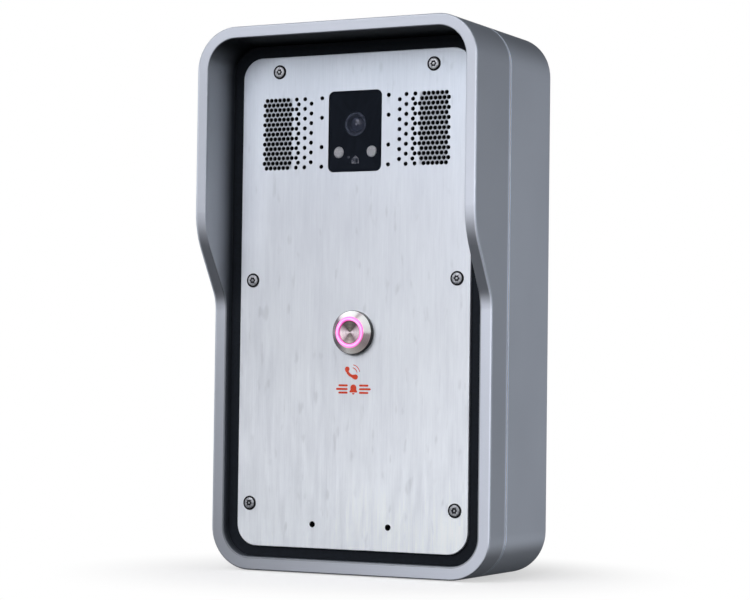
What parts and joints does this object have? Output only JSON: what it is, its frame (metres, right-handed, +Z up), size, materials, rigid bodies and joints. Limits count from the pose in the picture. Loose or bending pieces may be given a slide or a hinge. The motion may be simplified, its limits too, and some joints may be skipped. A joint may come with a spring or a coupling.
{
  "type": "door intercom panel",
  "caption": "Hooded wall-mounted door intercom with a brushed steel face, camera window, speaker grilles and a lit call button.",
  "frame": {"origin": "middle of the flat back face that lies on the wall", "axes": "+Y into the wall, the face looks along -Y; +Z up; +X to the viewer's right"},
  "size_m": [0.13, 0.075, 0.228],
  "materials": {
    "case_paint": "satin powder coat, silver grey",
    "brushed_plate": "vertical brushed grain",
    "black_trim": "fine moulded matt",
    "black_rubber": "matt",
    "foam": "closed cell foam",
    "screw_steel": "bright turned",
    "zinc_steel": "zinc plated",
    "window_glass": "smoked, polished",
    "lens_glass": "coated lens",
    "black_plastic": "matt moulding",
    "barrel_black": "black anodised",
    "light_dome": "frosted",
    "sensor_clear": "tinted epoxy",
    "ring_light": "translucent, lit pink",
    "button_steel": "turned stainless",
    "circuit_board": "solder mask",
    "chip_black": "epoxy",
    "shield_tin": "tin plated",
    "terminal_green": "moulded",
    "relay_blue": "moulded",
    "capacitor_sleeve": "shrink sleeve",
    "cloth": "fine woven",
    "speaker_steel": "pressed",
    "magnet": "ferrite",
    "cone_paper": "pressed pulp",
    "brass_tag": "plated",
    "lead_sleeve": "pvc",
    "ribbon_film": "polyimide",
    "spring_steel": "drawn wire"
  },
  "bodies": {
    "case": {"back_box": "case_paint", "hood_frame": "case_paint", "seam_gasket": "black_rubber", "wall_gasket": "black_rubber", "cable_grommet": "black_rubber", "frame_screws": "zinc_steel", "inner_trim": "black_trim", "plate_gasket": "foam", "face_plate": "brushed_plate", "plate_screws": "screw_steel", "screw_seals": "black_rubber", "window_tape": "foam", "window_glass": "window_glass", "camera_housing": "black_plastic", "lens_barrel": "barrel_black", "lens_element": "lens_glass", "camera_board": "circuit_board", "image_sensor": "chip_black", "light_sensor": "sensor_clear", "fill_light_left": "light_dome", "fill_light_right": "light_dome", "grille_cloth_left": "cloth", "grille_cloth_right": "cloth", "speaker_gasket_left": "foam", "speaker_gasket_right": "foam", "speaker_basket_left": "speaker_steel", "speaker_basket_right": "speaker_steel", "speaker_magnet_left": "magnet", "speaker_magnet_right": "magnet", "speaker_surround_left": "black_rubber", "speaker_surround_right": "black_rubber", "microphone_left": "zinc_steel", "microphone_right": "zinc_steel", "microphone_boot_left": "black_rubber", "microphone_boot_right": "black_rubber", "button_bezel": "button_steel", "button_oring": "black_rubber", "button_nut": "zinc_steel", "button_spring": "spring_steel", "button_contact_block": "black_plastic", "button_terminals": "brass_tag", "button_leads": "lead_sleeve", "main_board": "circuit_board", "board_spacers": "brass_tag", "board_screws": "zinc_steel", "processor_shield": "shield_tin", "board_chips": "chip_black", "terminal_block": "terminal_green", "network_jack": "shield_tin", "relay": "relay_blue", "capacitors": "capacitor_sleeve", "tamper_switch": "black_plastic", "tamper_spring": "spring_steel", "camera_ribbon": "ribbon_film", "speaker_leads": "lead_sleeve"},
    "button_actuator": {"button_cap": "button_steel", "button_ring": "ring_light"},
    "cover_switch_plunger": {"tamper_plunger": "black_plastic"},
    "left_diaphragm": {"speaker_cone_left": "cone_paper"},
    "right_diaphragm": {"speaker_cone_right": "cone_paper"}
  },
  "joints": [
    {"name": "call_button_press", "type": "slide", "parent": "case", "child": "button_actuator", "axis": [0, 1, 0], "range_m": [0, 0.002], "stiffness_N_per_m": 900, "deforming": ["button_spring"]},
    {"name": "cover_switch_press", "type": "slide", "parent": "case", "child": "cover_switch_plunger", "axis": [0, -1, 0], "range_m": [0, 0.0015], "stiffness_N_per_m": 400, "deforming": ["tamper_spring"]},
    {"name": "left_diaphragm_slide", "type": "slide", "parent": "case", "child": "left_diaphragm", "axis": [0, -1, 0], "range_m": [-0.0004, 0.0004], "stiffness_N_per_m": 1000, "deforming": ["speaker_surround_left"]},
    {"name": "right_diaphragm_slide", "type": "slide", "parent": "case", "child": "right_diaphragm", "axis": [0, -1, 0], "range_m": [-0.0004, 0.0004], "stiffness_N_per_m": 1000, "deforming": ["speaker_surround_right"]}
  ]
}
